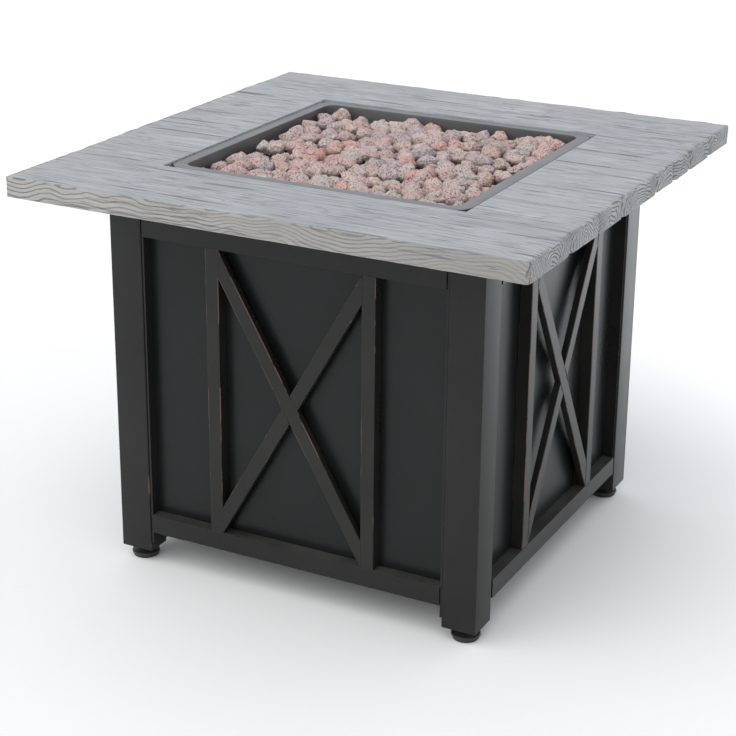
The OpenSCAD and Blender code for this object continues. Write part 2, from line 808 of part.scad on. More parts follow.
// Bolts, each with its head and nut, through the strips into the legs
module frame_bolts() {
    head = bolt_d * 0.85;
    color("#85888b") for (quarter = [FRONT:LEFT]) on_side(quarter) mirrored_x() for (z = bolt_zs) {
        rod_x(strip_in - 4, leg_in + sheet + 6, bolt_y, z, bolt_d / 2);
        rod_x(strip_in - 4, strip_in, bolt_y, z, head);
        rod_x(leg_in + sheet, leg_in + sheet + 5, bolt_y, z, head);
    }
}

// Access door on the back
module door_panel() {
    color("#232526") on_side(BACK)
        translate([-door_half, panel_y, door_bottom]) cube([2 * door_half, panel_t, door_top - door_bottom]);
}

// Perimeter bars on the outer face of the door panel
module door_frame() {
    color("#2b2b2b") on_side(BACK) {
        mirrored_x() upright_tube(door_half - door_bar_w, door_bar_w, door_bottom, door_top);
        for (z = [door_bottom, door_top - door_bar_w])
            translate([0, -base_half, z]) tube_bar([2 * (door_half - door_bar_w - weld_gap), recess, door_bar_w]);
    }
}

module door_cross_bars() {
    color("#303032") on_side(BACK) cross_bars(door_bottom + door_bar_w, door_top - door_bar_w);
}

// A hinge leaf with its knuckles, opening towards dir (-1 is the leg, 1 is the door)
module hinge_leaf(z, dir, knuckles) {
    reach = knuckle_r + 0.6;
    difference() {
        union() {
            translate([dir > 0 ? pin_x + reach : pin_x - leaf_w, -base_half - leaf_t, z - hinge_h / 2])
                cube([leaf_w - reach, leaf_t, hinge_h]);
            for (k = knuckles) {
                z0 = z - hinge_h / 2 + k * hinge_h / 3 + knuckle_gap / 2;
                translate([pin_x, pin_y, z0]) cylinder(h = knuckle_h, r = knuckle_r);
                translate([dir > 0 ? pin_x : pin_x - reach - 1, -base_half - leaf_t, z0])
                    cube([reach + 1, leaf_t, knuckle_h]);
            }
        }
        translate([pin_x, pin_y, z - hinge_h]) cylinder(h = 2 * hinge_h, r = pin_d / 2 + run_fit);
    }
}

module door_hinge_fixed() { color("#4a4b4d") on_side(BACK) for (z = hinge_zs) hinge_leaf(z, -1, [0, 2]); }
module door_hinge_moving() { color("#4a4b4d") on_side(BACK) for (z = hinge_zs) hinge_leaf(z, 1, [1]); }

module hinge_pins() {
    color("#a0a3a5") on_side(BACK) for (z = hinge_zs) {
        translate([pin_x, pin_y, z - hinge_h / 2]) cylinder(h = hinge_h, r = pin_d / 2);
        translate([pin_x, pin_y, z + hinge_h / 2]) cylinder(h = 2, r = knuckle_r);
    }
}

// Bar handle on the free edge of the door
module door_pull() {
    z = (door_bottom + door_top) / 2;
    color("#3c3d3f") on_side(BACK) {
        translate([pull_x, -base_half - pull_out, z - pull_h / 2]) cylinder(h = pull_h, r = pull_r);
        for (dz = [-pull_h / 2 + 15, pull_h / 2 - 15])
            rod_y(pull_x, -base_half - pull_out, -base_half, z + dz, pull_r - 1);
    }
}

// Catch magnet behind the rail above the door, and its strike on the door
module door_magnet() {
    color("#5a5c5e") on_side(BACK) translate([magnet_x, 0, 0]) {
        translate([0, panel_back + strike_t + 0.3, door_top - 32]) cube([magnet_w, 10, 58]);
        translate([0, panel_y, door_top_rail_z + 6]) cube([magnet_w, panel_t + strike_t + 2, 16]);
    }
}

module door_strike() {
    color("#a7aaac") on_side(BACK)
        translate([magnet_x - 2, panel_back, door_top - 30]) cube([magnet_w + 4, strike_t, 22]);
}

// Shelf for the tank, with a tab under the bottom rail on three sides and vent holes
module base_shelf() {
    color("#2e2f31") difference() {
        union() {
            slab(shelf_half, shelf_z, shelf_t);
            for (quarter = [FRONT, RIGHT, LEFT]) on_side(quarter)
                translate([shelf_tab_x - shelf_tab_w / 2, strip_y, shelf_z])
                    cube([shelf_tab_w, -strip_y - shelf_half + 1, shelf_t]);
        }
        for (a = [0:90:270]) rotate([0, 0, a]) translate([60, 0, shelf_z - 1]) cylinder(h = shelf_t + 2, r = 15);
    }
}

// Guide for the tank's foot ring, open towards the door, with a boss for the clamp screw
module tank_guide() {
    z = shelf_z + shelf_t;
    color("#3a3b3d") difference() {
        union() {
            translate([0, 0, z]) linear_extrude(guide_h) {
                difference() {
                    circle(guide_r + guide_t, $fn = 96);
                    circle(guide_r, $fn = 96);
                    translate([-guide_r * 2, 0]) square([guide_r * 4, guide_r * 2]);
                }
                for (x = [-guide_r - guide_t, guide_r]) translate([x, 0]) square([guide_t, guide_arm]);
            }
            rod_x(guide_r + guide_t - 1, guide_r + guide_t + 10, screw_y, screw_z, screw_r + 4);
        }
        rod_x(guide_r - 1, guide_r + guide_t + 11, screw_y, screw_z, screw_r + run_fit);
    }
}

// Wing screw that clamps the tank's foot ring
module tank_screw() {
    x0 = guide_r - 0.5;
    x1 = guide_r + guide_t + 10 + screw_travel + 2;
    color("#9b9ea0") {
        rod_x(x0, x1 + 1, screw_y, screw_z, screw_r);
        rod_x(x1, x1 + 10, screw_y, screw_z, screw_r + 3);
        translate([x1 + 3, screw_y - 16, screw_z - 2]) cube([14, 32, 4]);
    }
}

mantel();
mantel_brackets();
mantel_screws();
fire_bowl();
bowl_support();
heat_shield();
lava_rocks();
rock_grate();
burner_ring();
burner_mixer();
gas_pipe();
igniter_shield();
electrode();
thermocouple();
control_plate();
gas_valve();
valve_sleeve();
valve_stem();
control_knob();
igniter_body();
igniter_nut();
igniter_button();
igniter_spring();
igniter_battery();
leg_front_left();
leg_front_right();
leg_back_right();
leg_back_left();
leg_foot_plates();
glide_front_left();
glide_front_right();
glide_back_right();
glide_back_left();
stud_front_left();
stud_front_right();
stud_back_right();
stud_back_left();
front_frame();
front_cross_bars();
front_panel();
right_frame();
right_cross_bars();
right_panel();
left_frame();
left_cross_bars();
left_panel();
back_frame();
frame_bolts();
door_panel();
door_frame();
door_cross_bars();
door_hinge_fixed();
door_hinge_moving();
hinge_pins();
door_pull();
door_magnet();
door_strike();
base_shelf();
tank_guide();
tank_screw();
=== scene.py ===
import json
import math
import random

import bmesh
import bpy
from mathutils import Matrix, Vector, noise


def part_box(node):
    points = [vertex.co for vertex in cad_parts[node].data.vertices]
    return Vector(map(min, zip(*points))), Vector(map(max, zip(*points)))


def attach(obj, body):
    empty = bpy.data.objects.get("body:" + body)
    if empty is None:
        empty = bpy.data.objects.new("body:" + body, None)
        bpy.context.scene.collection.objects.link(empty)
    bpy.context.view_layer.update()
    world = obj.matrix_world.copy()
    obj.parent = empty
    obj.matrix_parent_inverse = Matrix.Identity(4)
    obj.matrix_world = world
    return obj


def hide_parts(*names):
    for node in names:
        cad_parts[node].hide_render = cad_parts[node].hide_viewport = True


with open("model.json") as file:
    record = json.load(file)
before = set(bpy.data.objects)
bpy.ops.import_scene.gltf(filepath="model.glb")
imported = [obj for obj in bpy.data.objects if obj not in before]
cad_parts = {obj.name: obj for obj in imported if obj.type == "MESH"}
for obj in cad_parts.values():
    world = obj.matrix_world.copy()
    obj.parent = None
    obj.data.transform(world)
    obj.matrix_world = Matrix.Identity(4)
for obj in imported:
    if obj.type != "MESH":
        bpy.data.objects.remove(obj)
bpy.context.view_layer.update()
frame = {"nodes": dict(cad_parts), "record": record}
nodes = frame["nodes"]
record = frame["record"]
body_of_node = {n: body for body, members in record["behaviour"]["bodies"].items() for n in members}
slot_of_node = {part["node"]: part["material_slot"] for part in record["subparts"]}
scene = bpy.context.scene

# ---------------------------------------------------------------- sizes

mantel_low, mantel_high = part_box("mantel")
leg_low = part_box("leg_front_left")[0]
rim_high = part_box("fire_bowl")[1]
bars_low, bars_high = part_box("front_cross_bars")
door_bars_low, door_bars_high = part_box("door_cross_bars")
rock_low, rock_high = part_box("lava_rocks")

table_top = mantel_high.z
mantel_half = mantel_high.x
base_half = -leg_low.y
opening_half = 0.2275
seat_half = base_half + 0.010
skirt_inner = mantel_half - 0.016
pocket_depth = 0.012
stile_inner = 0.1085
bar_width = 0.020
weld_gap = 0.0002
same_place = 0.00001

FRONT, RIGHT, BACK, LEFT = 0, 1, 2, 3

# Where the boards of the mantel meet, along Y
board_joints = (-0.247, -0.150, -0.068, 0.062, 0.135, 0.201, 0.290)


# ---------------------------------------------------------------- camera and light

def place_camera():
    """One camera a little above the table, off its front right corner."""
    azimuth, elevation, roll = math.radians(27.56), math.radians(20.20), math.radians(0.48)
    flat = math.cos(elevation)
    back = Vector((math.sin(azimuth) * flat, -math.cos(azimuth) * flat, math.sin(elevation)))
    data = bpy.data.cameras.new("camera")
    data.sensor_width = 36.0
    data.lens = 90.23
    data.shift_y = -0.05
    data.clip_start, data.clip_end = 0.05, 100.0
    camera = bpy.data.objects.new("camera", data)
    scene.collection.objects.link(camera)
    camera.location = (1.1492, -2.2573, 1.2406)
    camera.rotation_mode = "QUATERNION"
    camera.rotation_quaternion = (-back).to_track_quat("-Z", "Y") @ Matrix.Rotation(roll, 3, "Z").to_quaternion()
    scene.camera = camera


def light_studio():
    """A pale surround with a broad overhead light."""
    world = bpy.data.worlds.new("studio")
    scene.world = world
    world.use_nodes = True
    background = world.node_tree.nodes["Background"]
    background.inputs["Color"].default_value = (0.95, 0.975, 1.0, 1.0)
    background.inputs["Strength"].default_value = 0.85
    sun = bpy.data.lights.new("overhead_softbox", "SUN")
    sun.energy = 1.3
    sun.angle = math.radians(70)
    sun.color = (1.0, 0.985, 0.96)
    lamp = bpy.data.objects.new("overhead_softbox", sun)
    scene.collection.objects.link(lamp)
    lamp.rotation_euler = (math.radians(38), math.radians(-14), 0.0)
    # A lamp that whitens the floor behind and beside the table, which the right side mirrors
    spot = bpy.data.lights.new("backdrop_lamp", "SPOT")
    spot.energy = 420.0
    spot.spot_size = math.radians(58)
    spot.spot_blend = 1.0
    spot.shadow_soft_size = 0.4
    spot.color = (0.86, 0.94, 1.0)
    lamp = bpy.data.objects.new("backdrop_lamp", spot)
    scene.collection.objects.link(lamp)
    lamp.location = (1.9, 2.5, 2.4)
    aim = Vector((1.35, 1.85, 0.0)) - lamp.location
    lamp.rotation_mode = "QUATERNION"
    lamp.rotation_quaternion = aim.to_track_quat("-Z", "Y")
    scene.view_settings.view_transform = "Standard"


def lay_floor():
    """A wide pale floor, which is not part of the object."""
    bm = bmesh.new()
    bmesh.ops.create_grid(bm, x_segments=1, y_segments=1, size=30.0)
    mesh = bpy.data.meshes.new("studio_floor")
    bm.to_mesh(mesh)
    bm.free()
    floor = bpy.data.objects.new("studio_floor", mesh)
    scene.collection.objects.link(floor)
    material = bpy.data.materials.new("pale_floor")
    material.use_nodes = True
    shader = material.node_tree.nodes["Principled BSDF"]
    shader.inputs["Base Color"].default_value = (0.93, 0.93, 0.93, 1.0)
    shader.inputs["Roughness"].default_value = 0.85
    mesh.materials.append(material)


# ---------------------------------------------------------------- shared shader groups

class Sheet:
    """A node tree with short calls for the nodes that the finishes use."""

    def __init__(self, tree):
        self.tree = tree

    def add(self, kind, **settings):
        made = self.tree.nodes.new(kind)
        for name, value in settings.items():
            setattr(made, name, value)
        return made

    def join(self, source, target):
        self.tree.links.new(source, target)

    def fill(self, socket, value):
        if isinstance(value, bpy.types.NodeSocket):
            self.join(value, socket)
        else:
            socket.default_value = value

    def math(self, operation, first, second=0.0, clamp=False):
        made = self.add("ShaderNodeMath", operation=operation, use_clamp=clamp)
        for socket, value in zip(made.inputs, (first, second)):
            self.fill(socket, value)
        return made.outputs[0]

    def remap(self, value, from_low, from_high, to_low=0.0, to_high=1.0, smooth=False):
        made = self.add("ShaderNodeMapRange", interpolation_type="SMOOTHSTEP" if smooth else "LINEAR")
        for socket, number in zip(made.inputs, (value, from_low, from_high, to_low, to_high)):
            self.fill(socket, number)
        return made.outputs[0]

    def mix(self, share, first, second):
        made = self.add("ShaderNodeMix", data_type="RGBA")
        self.fill(made.inputs[0], share)
        for socket, value in ((made.inputs[6], first), (made.inputs[7], second)):
            self.fill(socket, value if isinstance(value, bpy.types.NodeSocket) else (*value, 1.0))
        return made.outputs[2]

    def noise(self, vector, scale, detail=3.0, roughness=0.55):
        made = self.add("ShaderNodeTexNoise")
        self.join(vector, made.inputs["Vector"])
        self.fill(made.inputs["Scale"], scale)
        self.fill(made.inputs["Detail"], detail)
        self.fill(made.inputs["Roughness"], roughness)
        return made.outputs["Fac"]

    def cells(self, vector, scale):
        made = self.add("ShaderNodeTexVoronoi")
        self.join(vector, made.inputs["Vector"])
        self.fill(made.inputs["Scale"], scale)
        return made.outputs["Distance"]

    def stretched(self, vector, scale, shift=(0.0, 0.0, 0.0)):
        made = self.add("ShaderNodeMapping")
        self.join(vector, made.inputs["Vector"])
        made.inputs["Location"].default_value = shift
        made.inputs["Scale"].default_value = scale
        return made.outputs[0]

    def ramp(self, value, stops):
        made = self.add("ShaderNodeValToRGB")
        elements = made.color_ramp.elements
        while len(elements) < len(stops):
            elements.new(0.5)
        for element, (place, colour) in zip(elements, stops):
            element.position = place
            element.color = (*colour, 1.0)
        self.join(value, made.inputs["Fac"])
        return made.outputs["Color"]

    def attribute(self, name):
        return self.add("ShaderNodeAttribute", attribute_name=name).outputs["Fac"]

    def bump(self, height, distance):
        made = self.add("ShaderNodeBump")
        made.inputs["Strength"].default_value = 1.0
        made.inputs["Distance"].default_value = distance
        self.join(height, made.inputs["Height"])
        return made.outputs["Normal"]


def group_tree(name, inputs, outputs):
    """An empty node group with its sockets."""
    tree = bpy.data.node_groups.new(name, "ShaderNodeTree")
    for label, kind, default in inputs:
        socket = tree.interface.new_socket(name=label, in_out="INPUT", socket_type=kind)
        if default is not None:
            socket.default_value = default
    for label, kind in outputs:
        tree.interface.new_socket(name=label, in_out="OUTPUT", socket_type=kind)
    sheet = Sheet(tree)
    return sheet, sheet.add("NodeGroupInput").outputs, sheet.add("NodeGroupOutput").inputs


def make_edge_rub():
    """Paint rubbed off along the edges, in broken lengths."""
    sheet, given, out = group_tree("edge_rub",
        [("Vector", "NodeSocketVector", None), ("Edge", "NodeSocketFloat", 0.0), ("Amount", "NodeSocketFloat", 0.5),
         ("Scale", "NodeSocketFloat", 12.0)],
        [("Mask", "NodeSocketFloat")])
    lengths = sheet.noise(given["Vector"], given["Scale"], 4.0, 0.65)
    nicks = sheet.noise(given["Vector"], 260.0, 2.0)
    level = sheet.math("SUBTRACT", 0.78, sheet.math("MULTIPLY", given["Amount"], 0.36))
    rubbed = sheet.remap(sheet.math("ADD", lengths, sheet.math("MULTIPLY", nicks, 0.12)), level,
                         sheet.math("ADD", level, 0.07), smooth=True)
    sheet.join(sheet.math("MULTIPLY", rubbed, given["Edge"], clamp=True), out["Mask"])
    return sheet.tree


def make_settled_dust():
    """A thin film of dust on what faces up, thicker in patches."""
    sheet, given, out = group_tree("settled_dust",
        [("Vector", "NodeSocketVector", None), ("Amount", "NodeSocketFloat", 0.3)],
        [("Mask", "NodeSocketFloat")])
    facing = sheet.add("ShaderNodeSeparateXYZ")
    sheet.join(sheet.add("ShaderNodeNewGeometry").outputs["Normal"], facing.inputs[0])
    upward = sheet.remap(facing.outputs["Z"], 0.55, 0.95, smooth=True)
    patches = sheet.remap(sheet.noise(given["Vector"], 14.0, 5.0, 0.6), 0.35, 0.7, 0.35, 1.0)
    mask = sheet.math("MULTIPLY", upward, patches)
    sheet.join(sheet.math("MULTIPLY", mask, given["Amount"], clamp=True), out["Mask"])
    return sheet.tree


def make_paint_skin():
    """Orange-peel height and soft blotches of a sprayed paint."""
    sheet, given, out = group_tree("paint_skin",
        [("Vector", "NodeSocketVector", None), ("Peel", "NodeSocketFloat", 420.0), ("Blotch", "NodeSocketFloat", 7.0)],
        [("Height", "NodeSocketFloat"), ("Blotches", "NodeSocketFloat")])
    peel = sheet.noise(given["Vector"], given["Peel"], 2.0, 0.5)
    speck = sheet.cells(given["Vector"], sheet.math("MULTIPLY", given["Peel"], 1.7))
    height = sheet.math("ADD", peel, sheet.math("MULTIPLY", speck, 0.4))
    sheet.join(height, out["Height"])
    sheet.join(sheet.noise(given["Vector"], given["Blotch"], 4.0, 0.6), out["Blotches"])
    return sheet.tree


def make_brush_lines():
    """Fine lines that a belt leaves on bare metal, along X, and faint smudges."""
    sheet, given, out = group_tree("brush_lines",
        [("Vector", "NodeSocketVector", None), ("Fineness", "NodeSocketFloat", 1.0)],
        [("Height", "NodeSocketFloat"), ("Smudge", "NodeSocketFloat")])
    scaled = sheet.add("ShaderNodeVectorMath", operation="SCALE")
    sheet.join(sheet.stretched(given["Vector"], (30.0, 1600.0, 1600.0)), scaled.inputs[0])
    sheet.join(given["Fineness"], scaled.inputs["Scale"])
    sheet.join(sheet.noise(scaled.outputs[0], 1.0, 2.0), out["Height"])
    sheet.join(sheet.noise(given["Vector"], 26.0, 4.0, 0.6), out["Smudge"])
    return sheet.tree


edge_rub = make_edge_rub()
settled_dust = make_settled_dust()
paint_skin = make_paint_skin()
brush_lines = make_brush_lines()


def use_group(sheet, tree, **values):
    """Puts a shared group in a finish and sets its inputs."""
    made = sheet.add("ShaderNodeGroup")
    made.node_tree = tree
    for label, value in values.items():
        sheet.fill(made.inputs[label], value)
    return made.outputs


# ---------------------------------------------------------------- finishes

warm_dust = (0.23, 0.225, 0.215)
grey_dust = (0.25, 0.24, 0.23)


def start_finish(name, roughness=0.5, metallic=0.0, specular=0.5):
    """A new material, its sheet, its shader's inputs and the place on the piece."""
    material = bpy.data.materials.new(name)
    material.use_nodes = True
    shader = material.node_tree.nodes["Principled BSDF"]
    shader.inputs["Roughness"].default_value = roughness
    shader.inputs["Metallic"].default_value = metallic
    shader.inputs["Specular IOR Level"].default_value = specular
    sheet = Sheet(material.node_tree)
    position = sheet.add("ShaderNodeTexCoord").outputs["Object"]
    return material, sheet, shader.inputs, position


def painted_steel(name, colour, roughness, peel, bump, rub, rub_colour=(0.16, 0.062, 0.036), dust=0.25,
                  specular=0.3):
    """Sprayed dark paint with rubbed edges, orange peel and dust."""
    material, sheet, shader, position = start_finish(name, specular=specular)
    skin = use_group(sheet, paint_skin, Vector=position, Peel=peel)
    lighter = tuple(min(1.0, c * 1.45 + 0.002) for c in colour)
    tone = sheet.mix(sheet.remap(skin["Blotches"], 0.3, 0.75), colour, lighter)
    rubbed = use_group(sheet, edge_rub, Vector=position, Edge=sheet.attribute("wear_and_highlight_edge"), Amount=rub)["Mask"]
    tone = sheet.mix(rubbed, tone, rub_colour)
    film = use_group(sheet, settled_dust, Vector=position, Amount=dust)["Mask"]
    sheet.join(sheet.mix(film, tone, warm_dust), shader["Base Color"])
    gloss = sheet.remap(skin["Blotches"], 0.3, 0.75, roughness - 0.04, roughness + 0.06)
    gloss = sheet.math("ADD", gloss, sheet.math("MULTIPLY", film, 0.5), clamp=True)
    sheet.join(gloss, shader["Roughness"])
    sheet.join(sheet.bump(skin["Height"], bump), shader["Normal"])
    return material


def bare_metal(name, colour, roughness, fineness=1.0, tarnish=(0.2, 0.18, 0.16), worn=0.25, dust=0.15):
    """Drawn or brushed metal with smudges."""
    material, sheet, shader, position = start_finish(name, metallic=1.0)
    lines = use_group(sheet, brush_lines, Vector=position, Fineness=fineness)
    dull = sheet.remap(lines["Smudge"], 0.45, 0.75, 0.0, worn)
    tone = sheet.mix(dull, colour, tarnish)
    film = use_group(sheet, settled_dust, Vector=position, Amount=dust)["Mask"]
    sheet.join(sheet.mix(film, tone, grey_dust), shader["Base Color"])
    sheet.join(sheet.math("SUBTRACT", 1.0, sheet.math("MULTIPLY", film, 0.8)), shader["Metallic"])
    sheet.join(sheet.remap(lines["Smudge"], 0.3, 0.8, roughness, roughness + 0.18), shader["Roughness"])
    sheet.join(sheet.bump(lines["Height"], 0.00004), shader["Normal"])
    return material


def moulded_plastic(name, colour, roughness, grain=900.0, bump=0.00005, coat=0.0):
    """Moulded plastic with a spark-eroded grain."""
    material, sheet, shader, position = start_finish(name)
    grains = sheet.noise(position, grain, 2.0)
    wear = sheet.noise(position, 60.0, 4.0, 0.65)
    paler = tuple(min(1.0, c * 1.5 + 0.012) for c in colour)
    sheet.join(sheet.mix(sheet.remap(wear, 0.5, 0.8, 0.0, 0.6), colour, paler), shader["Base Color"])
    sheet.join(sheet.remap(wear, 0.35, 0.75, roughness, roughness + 0.15), shader["Roughness"])
    sheet.join(sheet.bump(grains, bump), shader["Normal"])
    shader["Coat Weight"].default_value = coat
    return material


def weathered_boards():
    """Cast boards: growth rings run through each board, so the top shows long grain and the ends show rings."""
    material, sheet, shader, position = start_finish("weathered_boards", specular=0.35)
    place = sheet.add("ShaderNodeSeparateXYZ")
    sheet.join(position, place.inputs[0])
    x, y, z = place.outputs
    board = sheet.attribute("board")
    middle = sheet.attribute("board_middle")

    # Distance from the heart of the board, bent by slow and quick waves
    slow = sheet.noise(sheet.stretched(position, (3.2, 11.0, 11.0)), 1.0, 3.0, 0.5)
    quick = sheet.noise(sheet.stretched(position, (26.0, 60.0, 60.0)), 1.0, 3.0, 0.55)
    side = sheet.math("SUBTRACT", y, middle)
    depth = sheet.math("SUBTRACT", z, sheet.remap(board, 0.0, 1.0, table_top - 0.055, table_top - 0.018))
    radius = sheet.math("SQRT", sheet.math("ADD", sheet.math("POWER", side, 2.0), sheet.math("POWER", depth, 2.0)))
    radius = sheet.math("ADD", radius, sheet.math("MULTIPLY", sheet.math("SUBTRACT", slow, 0.5), 0.075))
    radius = sheet.math("ADD", radius, sheet.math("MULTIPLY", sheet.math("SUBTRACT", quick, 0.5), 0.0075))
    ring_width, edge_ring_width = 0.0047, 0.0060
    wave = sheet.math("SINE", sheet.math("MULTIPLY", radius, 2.0 * math.pi / ring_width))
    ring = sheet.remap(wave, 0.15, 1.0, smooth=True)
    arch = sheet.noise(sheet.stretched(position, (5.5, 1.0, 7.0), shift=(2.0, 0.0, 1.0)), 1.0, 2.0, 0.45)
    ripple = sheet.noise(sheet.stretched(position, (45.0, 20.0, 90.0)), 1.0, 3.0, 0.6)
    rise = sheet.math("ADD", z, sheet.math("MULTIPLY", arch, 0.135))
    rise = sheet.math("ADD", rise, sheet.math("MULTIPLY", ripple, 0.0035))
    edge_wave = sheet.math("SINE", sheet.math("MULTIPLY", rise, 2.0 * math.pi / edge_ring_width))
    edge_ring = sheet.remap(edge_wave, 0.45, 1.0, smooth=True)

    # Faces of the mantel: end of the boards, long edges, and the rest
    face_from, face_full = mantel_half - 0.009, mantel_half - 0.004
    end_face = sheet.remap(sheet.math("ABSOLUTE", x), face_from, face_full, smooth=True)
    long_face = sheet.remap(sheet.math("ABSOLUTE", y), face_from, face_full, smooth=True)
    edge_face = sheet.math("MAXIMUM", end_face, long_face)

    # Fine streaks and short dark checks along the grain
    fine = sheet.noise(sheet.stretched(position, (9.0, 520.0, 520.0)), 1.0, 3.0, 0.6)
    dash = sheet.noise(sheet.stretched(position, (14.0, 230.0, 230.0), shift=(3.0, 0.0, 0.0)), 1.0, 2.0, 0.5)
    checks = sheet.remap(dash, 0.60, 0.70, smooth=True)
    long_check = sheet.noise(sheet.stretched(position, (4.5, 120.0, 120.0), shift=(9.0, 5.0, 0.0)), 1.0, 2.0, 0.45)
    long_checks = sheet.remap(long_check, 0.655, 0.70, smooth=True)
    patches = sheet.noise(sheet.stretched(position, (3.0, 9.0, 9.0)), 1.0, 4.0, 0.6)

    tone = sheet.mix(sheet.remap(patches, 0.3, 0.7), (0.375, 0.395, 0.425), (0.47, 0.49, 0.515))
    tone = sheet.mix(sheet.remap(board, 0.0, 1.0, 0.0, 0.22), tone, (0.36, 0.365, 0.375))
    tone = sheet.mix(sheet.remap(fine, 0.42, 0.72, 0.0, 0.72), tone, (0.225, 0.24, 0.265))
    tone = sheet.mix(sheet.remap(fine, 0.27, 0.46, 0.62, 0.0), tone, (0.66, 0.675, 0.70))
    warm = sheet.mix(sheet.remap(patches, 0.35, 0.7), (0.30, 0.283, 0.258), (0.42, 0.402, 0.375))
    tone = sheet.mix(sheet.math("MULTIPLY", long_face, 0.8), tone, warm)
    cool = sheet.mix(sheet.remap(patches, 0.35, 0.7), (0.30, 0.31, 0.31), (0.45, 0.46, 0.46))
    tone = sheet.mix(sheet.math("MULTIPLY", end_face, 0.7), tone, cool)

    on_top = sheet.math("SUBTRACT", 1.0, edge_face)
    top_share = sheet.math("MULTIPLY", on_top, 0.22)
    ring_share = sheet.math("ADD", top_share, sheet.math("MULTIPLY", end_face, 0.85), clamp=True)
    tone = sheet.mix(sheet.math("MULTIPLY", ring, ring_share), tone, (0.12, 0.125, 0.125))
    fading = sheet.remap(arch, 0.35, 0.62, 0.30, 0.85)
    edge_line = sheet.math("MULTIPLY", edge_ring, sheet.math("MULTIPLY", long_face, fading))
    tone = sheet.mix(edge_line, tone, (0.13, 0.125, 0.115))
    # Painted shade: the long faces darken towards the +X end, as the light falls off there
    painted_end_shade = sheet.remap(x, -0.10, mantel_half, 0.0, 0.34)
    tone = sheet.mix(sheet.math("MULTIPLY", painted_end_shade, long_face), tone, (0.15, 0.142, 0.130))
    tone = sheet.mix(sheet.math("MULTIPLY", checks, 0.68), tone, (0.14, 0.15, 0.17))
    top_checks = sheet.math("MULTIPLY", long_checks, on_top)
    tone = sheet.mix(sheet.math("MULTIPLY", top_checks, 0.75), tone, (0.11, 0.12, 0.135))
    joint = sheet.attribute("joint")
    tone = sheet.mix(sheet.math("MULTIPLY", joint, 0.62), tone, (0.12, 0.125, 0.135))
    # Painted highlight: a pale line on the rounded lower edges of the mantel
    rim_light = sheet.attribute("wear_and_highlight_edge")
    tone = sheet.mix(sheet.math("MULTIPLY", rim_light, 0.35), tone, (0.66, 0.67, 0.68))
    sheet.join(tone, shader["Base Color"])
    sheet.join(sheet.remap(fine, 0.3, 0.7, 0.58, 0.80), shader["Roughness"])

    groove = sheet.math("MULTIPLY", ring, sheet.math("ADD", sheet.math("MULTIPLY", end_face, 0.95), 0.25))
    groove = sheet.math("ADD", groove, sheet.math("MULTIPLY", edge_ring, sheet.math("MULTIPLY", long_face, 0.35)))
    height = sheet.math("ADD", sheet.math("MULTIPLY", groove, -0.8), sheet.math("MULTIPLY", fine, -0.75))
    height = sheet.math("ADD", height, sheet.math("MULTIPLY", checks, -0.55))
    height = sheet.math("ADD", height, sheet.math("MULTIPLY", long_checks, -0.9))
    sheet.join(sheet.bump(height, 0.0012), shader["Normal"])
    return material


def porous_lava():
    """Frothy rock: each stone has its own tint, with open pores, and its lower flanks painted darker as shade between
    the stones, which leaves the tips pale.
    """
    material, sheet, shader, position = start_finish("porous_lava", roughness=0.92, specular=0.2)
    tint = sheet.attribute("tint")
    colour = sheet.ramp(tint, [(0.0, (0.60, 0.44, 0.41)), (0.16, (0.76, 0.47, 0.43)), (0.32, (0.56, 0.47, 0.50)),
                               (0.48, (0.78, 0.58, 0.52)), (0.62, (0.62, 0.56, 0.55)), (0.80, (0.84, 0.42, 0.36)),
                               (0.88, (0.62, 0.51, 0.43)), (1.0, (0.70, 0.64, 0.62))])
    cloud = sheet.noise(position, 55.0, 4.0, 0.6)
    colour = sheet.mix(sheet.remap(cloud, 0.35, 0.7, 0.0, 0.45), colour, (0.66, 0.56, 0.53))
    pores = sheet.cells(position, 300.0)
    small_pores = sheet.cells(position, 560.0)
    open_pore = sheet.remap(pores, 0.32, 0.16, smooth=True)
    small_open = sheet.remap(small_pores, 0.30, 0.14, smooth=True)
    crumbs = sheet.noise(position, 520.0, 3.0, 0.7)
    colour = sheet.mix(sheet.remap(crumbs, 0.48, 0.68, 0.0, 0.55), colour, (0.97, 0.89, 0.87))
    # Painted shade: the pores are darkened in colour as shade inside the holes; their depth is also in the bump
    colour = sheet.mix(sheet.math("MULTIPLY", small_open, 0.55), colour, (0.14, 0.10, 0.095))
    colour = sheet.mix(sheet.math("MULTIPLY", open_pore, 0.70), colour, (0.09, 0.065, 0.065))
    # Painted shade: each stone's lower flanks are darkened, as shade falls under and between the stones
    painted_flank_shade = sheet.remap(sheet.attribute("upward"), 0.55, -0.15, 0.0, 0.80, smooth=True)
    colour = sheet.mix(painted_flank_shade, colour, (0.045, 0.035, 0.035))
    sheet.join(colour, shader["Base Color"])
    height = sheet.math("ADD", sheet.math("MULTIPLY", open_pore, -1.0), sheet.math("MULTIPLY", small_open, -0.5))
    height = sheet.math("ADD", height, sheet.math("MULTIPLY", crumbs, 0.7))
    height = sheet.math("ADD", height, sheet.math("MULTIPLY", sheet.noise(position, 170.0, 3.0, 0.6), 2.2))
    sheet.join(sheet.bump(height, 0.0034), shader["Normal"])
    return material


